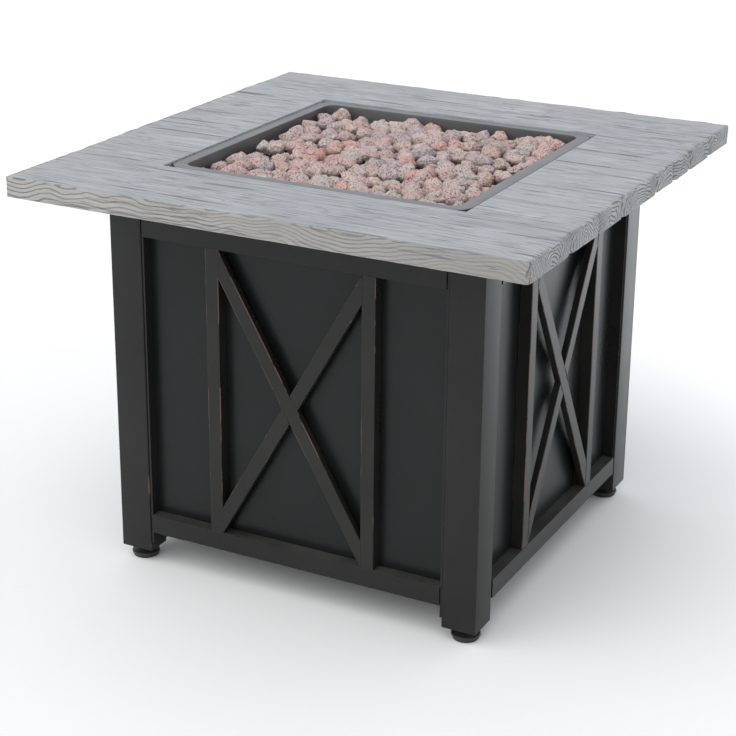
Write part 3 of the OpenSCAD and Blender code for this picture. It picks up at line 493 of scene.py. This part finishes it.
def bowl_enamel():
    """Grey satin paint of the drop-in bowl: paler on the rim, darker down inside."""
    material, sheet, shader, position = start_finish("bowl_enamel", specular=0.75)
    skin = use_group(sheet, paint_skin, Vector=position, Peel=520.0, Blotch=9.0)
    place = sheet.add("ShaderNodeSeparateXYZ")
    sheet.join(position, place.inputs[0])
    height = place.outputs["Z"]
    inside = sheet.remap(height, rim_high.z - 0.0016, rim_high.z - 0.0042, smooth=True)
    rim_tone = sheet.mix(sheet.remap(skin["Blotches"], 0.3, 0.7), (0.070, 0.074, 0.082), (0.102, 0.107, 0.115))
    wall_tone = sheet.mix(sheet.remap(skin["Blotches"], 0.3, 0.7), (0.056, 0.058, 0.061), (0.086, 0.088, 0.092))
    tone = sheet.mix(inside, rim_tone, wall_tone)
    edge = sheet.attribute("wear_and_highlight_edge")
    rubbed = use_group(sheet, edge_rub, Vector=position, Edge=edge, Amount=0.35, Scale=20.0)["Mask"]
    tone = sheet.mix(sheet.math("MULTIPLY", rubbed, 0.35), tone, (0.42, 0.43, 0.44))
    film = use_group(sheet, settled_dust, Vector=position, Amount=0.3)["Mask"]
    sheet.join(sheet.mix(film, tone, (0.30, 0.30, 0.305)), shader["Base Color"])
    sheet.join(sheet.remap(skin["Blotches"], 0.3, 0.7, 0.30, 0.42), shader["Roughness"])
    sheet.join(sheet.bump(skin["Height"], 0.00010), shader["Normal"])
    return material


def cast_iron():
    """Black iron with patches of rust."""
    material, sheet, shader, position = start_finish("cast_iron", metallic=0.6)
    pits = sheet.noise(position, 420.0, 4.0, 0.65)
    rust = sheet.remap(sheet.noise(position, 30.0, 5.0, 0.65), 0.52, 0.68, 0.0, 0.8, smooth=True)
    sheet.join(sheet.mix(rust, (0.045, 0.044, 0.043), (0.12, 0.05, 0.025)), shader["Base Color"])
    sheet.join(sheet.remap(pits, 0.3, 0.7, 0.55, 0.85), shader["Roughness"])
    sheet.join(sheet.bump(pits, 0.0004), shader["Normal"])
    return material


def glazed_ceramic():
    """White glaze with soot on it."""
    material, sheet, shader, position = start_finish("glazed_ceramic", roughness=0.25)
    soot = sheet.remap(sheet.noise(position, 90.0, 4.0, 0.6), 0.5, 0.75, 0.0, 0.7)
    sheet.join(sheet.mix(soot, (0.78, 0.75, 0.68), (0.30, 0.26, 0.22)), shader["Base Color"])
    sheet.join(sheet.bump(sheet.noise(position, 600.0, 2.0), 0.00003), shader["Normal"])
    return material


finishes = {
    "mantel_stone": weathered_boards(),
    "black_steel": painted_steel("charcoal_paint", (0.0102, 0.0100, 0.0096), 0.30, 520.0, 0.00005,
                                 rub=0.30, rub_colour=(0.13, 0.058, 0.042), specular=0.27),
    "cross_bar_steel": painted_steel("bar_paint", (0.0120, 0.0113, 0.0104), 0.29, 520.0, 0.00005,
                                     rub=0.62, rub_colour=(0.12, 0.075, 0.06)),
    "panel_steel": painted_steel("panel_paint", (0.0052, 0.0058, 0.0060), 0.30, 900.0, 0.00004,
                                 rub=0.2, dust=0.1, specular=0.28),
    "bowl_steel": bowl_enamel(),
    "bare_steel": bare_metal("galvanised_sheet", (0.52, 0.53, 0.54), 0.34, 0.4),
    "stainless": bare_metal("stainless_tube", (0.60, 0.60, 0.60), 0.24, 1.0, tarnish=(0.34, 0.24, 0.14), worn=0.5),
    "zinc_steel": bare_metal("zinc_plate", (0.56, 0.56, 0.53), 0.30, 0.7, tarnish=(0.36, 0.33, 0.24)),
    "grate_iron": cast_iron(),
    "lava_rock": porous_lava(),
    "brass": bare_metal("turned_brass", (0.68, 0.50, 0.22), 0.26, 1.2, tarnish=(0.30, 0.19, 0.08), worn=0.5),
    "electrode_ceramic": glazed_ceramic(),
    "black_plastic": moulded_plastic("black_moulding", (0.014, 0.014, 0.015), 0.38),
    "red_plastic": moulded_plastic("red_moulding", (0.42, 0.016, 0.012), 0.22, coat=0.4),
    "glide_plastic": moulded_plastic("glide_moulding", (0.016, 0.015, 0.015), 0.36, grain=500.0, bump=0.0001),
    "battery_sleeve": moulded_plastic("battery_wrap", (0.05, 0.17, 0.09), 0.2, coat=0.5),
    "hinge_steel": painted_steel("hinge_paint", (0.020, 0.020, 0.021), 0.36, 480.0, 0.00005,
                                 rub=0.8, rub_colour=(0.16, 0.13, 0.11)),
    "magnet_black": moulded_plastic("catch_moulding", (0.02, 0.02, 0.02), 0.5),
}
white_mark = moulded_plastic("white_marking", (0.72, 0.72, 0.70), 0.4)


# ---------------------------------------------------------------- making pieces

def side_turn(quarter):
    """The turn that takes a piece drawn at the front to another side."""
    return Matrix.Rotation(quarter * math.pi / 2, 4, "Z")


def add_piece(name, bm, body, slot, material=None, sharp=20.0):
    """A finished bmesh becomes a piece of the object that rides on a body."""
    mesh = bpy.data.meshes.new(name)
    bm.to_mesh(mesh)
    bm.free()
    for polygon in mesh.polygons:
        polygon.use_smooth = True
    mesh.set_sharp_from_angle(angle=math.radians(sharp))
    mesh.materials.append(material or finishes[slot])
    piece = bpy.data.objects.new(name, mesh)
    scene.collection.objects.link(piece)
    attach(piece, body)
    return piece


def join_flat_faces(bm):
    """Faces that lie in one plane become one face."""
    bmesh.ops.dissolve_limit(bm, angle_limit=math.radians(0.5), use_dissolve_boundaries=False,
                             verts=bm.verts, edges=bm.edges)


def copy_node(name):
    """A CAD node's solid with its loose triangles merged and its flat faces whole."""
    bm = bmesh.new()
    bm.from_mesh(nodes[name].data)
    bmesh.ops.remove_doubles(bm, verts=bm.verts, dist=same_place)
    join_flat_faces(bm)
    return bm


def round_edges(bm, edges, width, segments, mark=True):
    """Rounds some edges and marks the new faces: on painted parts paint wears off them first, and on the mantel a
    highlight is painted on them.
    """
    layer = bm.faces.layers.float.get("wear_and_highlight_edge") or bm.faces.layers.float.new("wear_and_highlight_edge")
    rounded = bmesh.ops.bevel(bm, geom=edges, offset=width, offset_type="OFFSET", segments=segments, profile=0.5,
                              affect="EDGES", clamp_overlap=True, material=-1)
    if mark:
        for face in rounded["faces"]:
            face[layer] = 1.0


def crisp_edges(bm, angle=30.0):
    """Edges where two faces meet at more than an angle, in degrees."""
    return [e for e in bm.edges if len(e.link_faces) == 2 and e.calc_face_angle(0.0) > math.radians(angle)]


def soften(name, width=0.0008, segments=2, first=None):
    """Replaces a CAD node by the same solid with its edges eased, as folded and sawn steel has them."""
    bm = copy_node(name)
    if first is not None:
        first(bm)
    layer = bm.faces.layers.float.get("wear_and_highlight_edge") or bm.faces.layers.float.new("wear_and_highlight_edge")
    edges = [e for e in crisp_edges(bm) if not any(f[layer] > 0.5 for f in e.link_faces)]
    round_edges(bm, edges, width, segments)
    piece = add_piece(name + "_eased", bm, body_of_node[name], slot_of_node[name])
    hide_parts(name)
    return piece


def fold_legs(bm):
    """The folds of a leg have a wider radius than its cut edges."""
    longest_cut = 0.3
    outer = []
    for edge in crisp_edges(bm):
        a, b = (v.co for v in edge.verts)
        if abs(a.z - b.z) > longest_cut and base_half - max(abs(a.x), abs(a.y)) < 0.0005:
            outer.append(edge)
    round_edges(bm, outer, 0.0016, 3)


def roll_rim(bm):
    """The rim of the bowl is rolled over, outside and inside."""
    outer_roll, inner_roll = 0.0040, 0.0014

    def edges_on_top():
        return [e for e in crisp_edges(bm) if all(abs(v.co.z - rim_high.z) < 0.0002 for v in e.verts)]

    top = edges_on_top()
    inner = [e for e in top if all(max(abs(v.co.x), abs(v.co.y)) < rim_high.x - 0.005 for v in e.verts)]
    round_edges(bm, [e for e in top if e not in inner], outer_roll, 4)
    round_edges(bm, edges_on_top(), inner_roll, 3)


def make_mantel():
    """Slab with a square cut-out and a hollow underside, cut fine enough for the uneven edges of its boards."""
    corner_round, top_round, bottom_round, mouth_round = 0.006, 0.0055, 0.0030, 0.0015
    grid_step = 0.0068
    joint_cuts = (-0.0022, -0.0009, 0.0, 0.0009, 0.0022)
    uneven_band = 0.016
    bm = bmesh.new()
    thickness = mantel_high.z - mantel_low.z
    bmesh.ops.create_cube(bm, size=1.0)
    bmesh.ops.scale(bm, vec=(2 * mantel_half, 2 * mantel_half, thickness), verts=bm.verts)
    bmesh.ops.translate(bm, vec=(0.0, 0.0, table_top - thickness / 2), verts=bm.verts)

    def cut(axis, place):
        normal = Vector((axis == 0, axis == 1, axis == 2))
        bmesh.ops.bisect_plane(bm, geom=bm.verts[:] + bm.edges[:] + bm.faces[:], dist=same_place,
                               plane_co=normal * place, plane_no=normal)

    for axis in (0, 1):
        for place in (-skirt_inner, -seat_half, -opening_half, opening_half, seat_half, skirt_inner):
            cut(axis, place)

    def reach(face):
        middle = face.calc_center_median()
        return max(abs(middle.x), abs(middle.y))

    well = [f for f in bm.faces if abs(f.normal.z) > 0.9 and reach(f) < opening_half]
    bmesh.ops.delete(bm, geom=well, context="FACES")
    bmesh.ops.bridge_loops(bm, edges=[e for e in bm.edges if e.is_boundary])
    hollow = [f for f in bm.faces if f.normal.z < -0.9 and seat_half < reach(f) < skirt_inner]
    raised = bmesh.ops.extrude_face_region(bm, geom=hollow)
    ceiling = [v for v in raised["geom"] if isinstance(v, bmesh.types.BMVert)]
    bmesh.ops.translate(bm, vec=(0.0, 0.0, pocket_depth), verts=ceiling)
    bmesh.ops.recalc_face_normals(bm, faces=bm.faces)
    join_flat_faces(bm)

    def on_edge(edge, z):
        return all(abs(v.co.z - z) < 0.0001 for v in edge.verts)

    def outermost(edge):
        return all(max(abs(v.co.x), abs(v.co.y)) > mantel_half - 0.0001 for v in edge.verts)

    crisp = crisp_edges(bm)
    corners = [e for e in crisp if outermost(e) and abs(e.verts[0].co.z - e.verts[1].co.z) > 0.01]
    round_edges(bm, corners, corner_round, 4, mark=False)
    upper = [e for e in crisp_edges(bm, 60.0) if outermost(e) and on_edge(e, mantel_high.z)]
    round_edges(bm, upper, top_round, 3, mark=False)
    lower = [e for e in crisp_edges(bm, 60.0) if outermost(e) and on_edge(e, mantel_low.z)]
    # The rounds of the lower edge are marked, and the boards' finish paints a highlight on them
    round_edges(bm, lower, bottom_round, 2)
    mouth = [e for e in crisp_edges(bm, 60.0) if on_edge(e, mantel_high.z)
             and all(max(abs(v.co.x), abs(v.co.y)) < opening_half + 0.001 for v in e.verts)]
    round_edges(bm, mouth, mouth_round, 2, mark=False)

    steps = int(2 * mantel_half / grid_step)
    for axis in (0, 1):
        for i in range(1, steps):
            cut(axis, -mantel_half + i * 2 * mantel_half / steps)
    for joint in board_joints:
        for offset in joint_cuts:
            cut(1, joint + offset)
    for i in range(1, 5):
        cut(2, mantel_low.z + i * thickness / 5)

    rng = random.Random(11)
    bounds = (-mantel_half,) + board_joints + (mantel_half,)
    boards = [(low, high, rng.random(), rng.uniform(-0.3, 0.3)) for low, high in zip(bounds, bounds[1:])]
    board_layer = bm.faces.layers.float.new("board")
    middle_layer = bm.faces.layers.float.new("board_middle")
    joint_layer = bm.verts.layers.float.new("joint")
    for face in bm.faces:
        y = face.calc_center_median().y
        for low, high, shade, lean in boards:
            if low <= y <= high:
                face[board_layer] = shade
                face[middle_layer] = (low + high) / 2 + lean * (high - low)

    def wobble(x, y, z):
        return noise.noise(Vector((x, y, z)))

    for vert in bm.verts:
        x, y, z = vert.co
        near_joint = min(abs(y - joint + 0.0012 * wobble(x * 9, joint * 40, 3.0)) for joint in board_joints)
        valley = math.exp(-(near_joint / 0.0016) ** 2)
        reach_right = max(0.0, 1.0 - (mantel_half - abs(x)) / uneven_band)
        reach_front = max(0.0, 1.0 - (mantel_half - abs(y)) / uneven_band)
        face_up = z > mantel_high.z - 0.0001
        # The joints are open at one end of the boards and hardly show elsewhere
        presence = 0.15 + 0.85 * (x > 0.0) * min(1.0, max(0.0, abs(x) - 0.20) / 0.06)
        shows = face_up or abs(x) > mantel_half - 0.008
        vert[joint_layer] = valley * (0.25 + 0.75 * presence) * (1.0 if shows else 0.0)
        height = (z - mantel_low.z) / thickness
        if reach_right > 0.0:
            board = next(b for b in boards if b[0] <= y <= b[1] + 1e-9)
            step = 0.0016 * board[2]
            notch = (0.0040 if x > 0 else 0.0012) * math.exp(-(near_joint / 0.0045) ** 2)
            chip = 0.0016 * (0.5 + 0.5 * wobble(y * 42, z * 60, math.copysign(5.0, x)))
            lump = 0.0020 * (0.5 + 0.5 * wobble(y * 15, z * 20, math.copysign(9.0, x)))
            x -= math.copysign((step + notch + chip + lump) * reach_right, x)
        if reach_front > 0.0:
            lump = 0.0022 * (0.5 + 0.5 * wobble(x * 11, z * 24, math.copysign(2.0, y)))
            chip = 0.0014 * (0.5 + 0.5 * wobble(x * 48, z * 70, math.copysign(7.0, y)))
            y -= math.copysign((lump + chip) * reach_front, y)
        if height > 0.7 and max(reach_right, reach_front) > 0.0:
            drop = 0.0022 * max(reach_right, reach_front) ** 2
            z -= drop * (0.5 + 0.5 * wobble(x * 40, y * 40, 1.0)) * (height - 0.7) / 0.3
        if face_up:
            z -= 0.0009 * valley * (0.4 + 0.6 * presence)
            z -= 0.0006 * (0.5 + 0.5 * wobble(x * 7, y * 34, 4.0))
        vert.co = (x, y, z)
    piece = add_piece("mantel_boards", bm, body_of_node["mantel"], "mantel_stone", sharp=45.0)
    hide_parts("mantel")
    return piece


def lava_stone(bm, tint_layer, upward_layer, place, size, rng, subdivisions):
    """One stone: a ball pushed in by a few flat breaks and roughened."""
    made = bmesh.ops.create_icosphere(bm, subdivisions=subdivisions, radius=1.0)
    verts = made["verts"]
    seed = Vector((rng.uniform(-50, 50), rng.uniform(-50, 50), rng.uniform(-50, 50)))
    breaks = [Vector((rng.gauss(0, 1), rng.gauss(0, 1), rng.gauss(0, 1))).normalized() for _ in range(5)]
    stretch = Vector((rng.uniform(0.85, 1.25), rng.uniform(0.8, 1.05), rng.uniform(0.7, 0.95)))
    turn = Matrix.Rotation(rng.uniform(0, 6.28), 3, "Z") @ Matrix.Rotation(rng.uniform(-0.6, 0.6), 3, "X")
    tint = rng.random()
    for vert in verts:
        way = vert.co.normalized()
        length = 1.02 + 0.34 * noise.noise(way * 1.3 + seed) + 0.24 * noise.noise(way * 2.9 + seed)
        length += 0.13 * noise.noise(way * 6.3 + seed)
        for normal in breaks:
            reach = way.dot(normal)
            if reach > 0.05:
                length = min(length, 0.82 / reach)
        point = Vector((way.x * stretch.x, way.y * stretch.y, way.z * stretch.z)) * length * size
        turned = turn @ point
        vert.co = turned + place
        vert[tint_layer] = tint
        vert[upward_layer] = turned.normalized().z


def pour_stones():
    """Loose stones over the grate: an under-layer that fills the gaps and the heap that shows."""
    rng = random.Random(23)
    inner = rock_high.x - 0.0015
    scatter = 0.007

    def heap(x, y):
        edge = max(abs(x), abs(y)) / inner
        return rock_high.z - 0.0075 + 0.0055 * (1.0 - edge ** 2.6)

    for name, pitch, subdivisions, sizes, sink in (("lava_stones_under", 0.030, 2, (0.0125, 0.0150), 0.009),
                                                   ("lava_stones_top", 0.0300, 3, (0.0136, 0.0200), 0.0)):
        bm = bmesh.new()
        for label in ("tint", "upward"):
            bm.verts.layers.float.new(label)
        tint_layer, upward_layer = bm.verts.layers.float["tint"], bm.verts.layers.float["upward"]
        rows = int(2 * inner / (pitch * 0.88))
        for row in range(rows + 1):
            y = -inner + 0.016 + row * (2 * inner - 0.032) / rows
            columns = int(2 * inner / pitch)
            for column in range(columns):
                x = -inner + 0.017 + (column + (0.5 if row % 2 else 0.05)) * (2 * inner - 0.034) / (columns - 0.45)
                px, py = x + rng.uniform(-scatter, scatter), y + rng.uniform(-scatter, scatter)
                size = rng.uniform(*sizes)
                if rng.random() < 0.14:
                    size *= 0.78
                limit = inner - size * 0.93
                px, py = max(-limit, min(limit, px)), max(-limit, min(limit, py))
                top = heap(px, py) + rng.uniform(-0.005, 0.006) - sink
                place = Vector((px, py, top - size * 0.62))
                lava_stone(bm, tint_layer, upward_layer, place, size, rng, subdivisions)
        for vert in bm.verts:
            vert.co.x = max(-inner, min(inner, vert.co.x))
            vert.co.y = max(-inner, min(inner, vert.co.y))
            vert.co.z = max(rock_low.z + 0.0002, min(table_top - 0.0006, vert.co.z))
        piece = add_piece(name, bm, body_of_node["lava_rocks"], "lava_rock", sharp=42.0)
        if subdivisions == 3:
            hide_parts("lava_rocks")


def weld_run(bm, start, end, radius, rng):
    """A short weld: a row of flattened drops, each over the last."""
    start, end = Vector(start), Vector(end)
    count = max(2, int((end - start).length / (radius * 0.8)))
    for i in range(count + 1):
        drop = bmesh.ops.create_icosphere(bm, subdivisions=1, radius=radius * rng.uniform(0.85, 1.15))["verts"]
        bmesh.ops.scale(bm, vec=(1.0, 0.75, 1.0), verts=drop)
        stray = Vector((rng.uniform(-1, 1), 0, rng.uniform(-1, 1))) * radius * 0.2
        bmesh.ops.translate(bm, vec=start.lerp(end, i / count) + stray, verts=drop)


def weld_cross(name, quarter, low, high, body):
    """Welds of one side's cross: where the bars meet the stiles and where they meet each other."""
    rng = random.Random(40 + quarter)
    bm = bmesh.new()
    reach = stile_inner - weld_gap
    share = (bar_width / (2 * reach)) ** 2
    tall = high - low
    # Height of the cut end of a diagonal bar, where it meets the stile
    root = math.sqrt(share * share * tall * tall + (1 - share) * (bar_width ** 2 + share * tall * tall))
    end = (-share * tall + root) / (1 - share)
    face_y = -base_half + 0.0006
    long_bead, short_bead = 0.0017, 0.0015
    for sx in (-1, 1):
        weld_run(bm, (sx * reach, face_y, high - end + 0.002), (sx * reach, face_y, high - 0.004), long_bead, rng)
        weld_run(bm, (sx * reach, face_y, low + 0.004), (sx * reach, face_y, low + end - 0.002), long_bead, rng)
        weld_run(bm, (sx * (reach + 0.003), face_y, high), (sx * (reach + 0.017), face_y, high), short_bead, rng)
        weld_run(bm, (sx * (reach + 0.003), face_y, low), (sx * (reach + 0.017), face_y, low), short_bead, rng)
    along = Vector((2 * reach, 0.0, -(tall - end))).normalized()
    across = Vector((-along.z, 0.0, along.x))
    centre = Vector((0.0, face_y, (low + high) / 2))
    for side in (-1, 1):
        middle = centre + across * side * (bar_width / 2 + 0.0004)
        weld_run(bm, middle - along * 0.011, middle + along * 0.011, long_bead, rng)
    bmesh.ops.transform(bm, matrix=side_turn(quarter), verts=bm.verts)
    return add_piece(name, bm, body, "cross_bar_steel", sharp=60.0)


def round_head(bm, place, radius, height, outward):
    """A domed screw or rivet head on a face."""
    made = bmesh.ops.create_cone(bm, cap_ends=True, cap_tris=False, segments=20, radius1=radius,
                                 radius2=radius * 0.72, depth=height)["verts"]
    bmesh.ops.translate(bm, vec=(0, 0, height / 2), verts=made)
    turn = Vector(outward).to_track_quat("Z", "Y").to_matrix().to_4x4()
    bmesh.ops.transform(bm, matrix=Matrix.Translation(place) @ turn, verts=made)


def block(bm, low, high, turn=0.0, about=None):
    """A small plain block between two corners, turned in the plane of the front about a point."""
    made = bmesh.ops.create_cube(bm, size=1.0)["verts"]
    low, high = Vector(low), Vector(high)
    bmesh.ops.scale(bm, vec=high - low, verts=made)
    bmesh.ops.translate(bm, vec=(low + high) / 2, verts=made)
    if turn:
        bmesh.ops.rotate(bm, verts=made, cent=about, matrix=Matrix.Rotation(turn, 3, "Y"))


def mark_controls():
    """Marks round the knob, its pointer and the rivets of the control plate."""
    plate_low, plate_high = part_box("control_plate")
    knob_low, knob_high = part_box("control_knob")
    face = plate_low.x
    middle = Vector((0.0, face, (plate_low.z + plate_high.z) / 2))
    across = -(knob_low.y + knob_high.y) / 2
    hub = Vector((across, face, middle.z))
    bm = bmesh.new()
    for step in range(9):
        half_mark, mark_top = (0.0005, 0.0238) if step % 4 == 0 else (0.0003, 0.0226)
        block(bm, (across - half_mark, face - 0.00015, hub.z + 0.0208),
              (across + half_mark, face + 0.0002, hub.z + mark_top), -math.pi * step / 8, hub)
    bmesh.ops.transform(bm, matrix=side_turn(LEFT), verts=bm.verts)
    add_piece("dial_marks", bm, "root", "black_plastic", material=white_mark)
    bm = bmesh.new()
    block(bm, (across - 0.0006, knob_low.x + 0.0003, hub.z + 0.0066),
          (across + 0.0006, knob_low.x + 0.0009, hub.z + 0.0172))
    bmesh.ops.transform(bm, matrix=side_turn(LEFT), verts=bm.verts)
    add_piece("knob_pointer", bm, "knob", "black_plastic", material=white_mark)
    bm = bmesh.new()
    half_w, half_h = (plate_high.y - plate_low.y) / 2, (plate_high.z - plate_low.z) / 2
    for sx in (-1, 1):
        for sz in (-1, 1):
            place = Vector((sx * (half_w - 0.006), face, middle.z + sz * (half_h - 0.006)))
            round_head(bm, place, 0.0026, 0.0011, (0, -1, 0))
    bmesh.ops.transform(bm, matrix=side_turn(LEFT), verts=bm.verts)
    add_piece("plate_rivets", bm, "root", "zinc_steel", sharp=50.0)


def screw_hinges():
    """Three screw heads in each leaf of the two door hinges."""
    pins_low, pins_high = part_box("hinge_pins")
    pin = -pins_low.x - (pins_high.x - pins_low.x) / 2
    for node, name, side in (("door_hinge_fixed", "fixed_leaf_screws", -1),
                             ("door_hinge_moving", "moving_leaf_screws", 1)):
        low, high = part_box(node)
        bm = bmesh.new()
        for centre in (low.z + 0.030, high.z - 0.030):
            for rise in (-0.020, 0.0, 0.020):
                place = Vector((pin + side * 0.017, -base_half - 0.002, centre + rise))
                round_head(bm, place, 0.0034, 0.0013, (0, -1, 0))
        bmesh.ops.transform(bm, matrix=side_turn(BACK), verts=bm.verts)
        add_piece(name, bm, body_of_node[node], "zinc_steel", sharp=50.0)


place_camera()
light_studio()
lay_floor()

corners = ("front_left", "front_right", "back_right", "back_left")
for corner in corners:
    soften("leg_" + corner, 0.0005, 2, first=fold_legs)
for side_name in ("front_frame", "right_frame", "left_frame", "back_frame", "door_frame"):
    soften(side_name, 0.0011, 2)
for bars in ("front_cross_bars", "right_cross_bars", "left_cross_bars", "door_cross_bars"):
    soften(bars, 0.0010, 2)
soften("fire_bowl", 0.0005, 1, first=roll_rim)
for fitting, width, segments in (("control_knob", 0.0011, 3), ("igniter_button", 0.0018, 4),
                                 ("igniter_body", 0.0007, 2), ("control_plate", 0.0006, 2),
                                 ("door_pull", 0.0016, 3), ("door_hinge_fixed", 0.0004, 2),
                                 ("door_hinge_moving", 0.0004, 2), ("gas_valve", 0.0008, 2),
                                 ("tank_screw", 0.0010, 3), ("tank_guide", 0.0006, 2),
                                 ("base_shelf", 0.0004, 1), ("bowl_support", 0.0005, 1),
                                 ("rock_grate", 0.0005, 1)):
    soften(fitting, width, segments)
for corner in corners:
    soften("glide_" + corner, 0.0005, 2)

make_mantel()
pour_stones()
weld_cross("welds_front", FRONT, bars_low.z, bars_high.z, "root")
weld_cross("welds_right", RIGHT, bars_low.z, bars_high.z, "root")
weld_cross("welds_left", LEFT, bars_low.z, bars_high.z, "root")
weld_cross("welds_door", BACK, door_bars_low.z, door_bars_high.z, "door")
mark_controls()
screw_hinges()

for name, node in nodes.items():
    if node.hide_render:
        continue
    for slot in node.material_slots:
        slot.material = finishes[slot_of_node[name]]
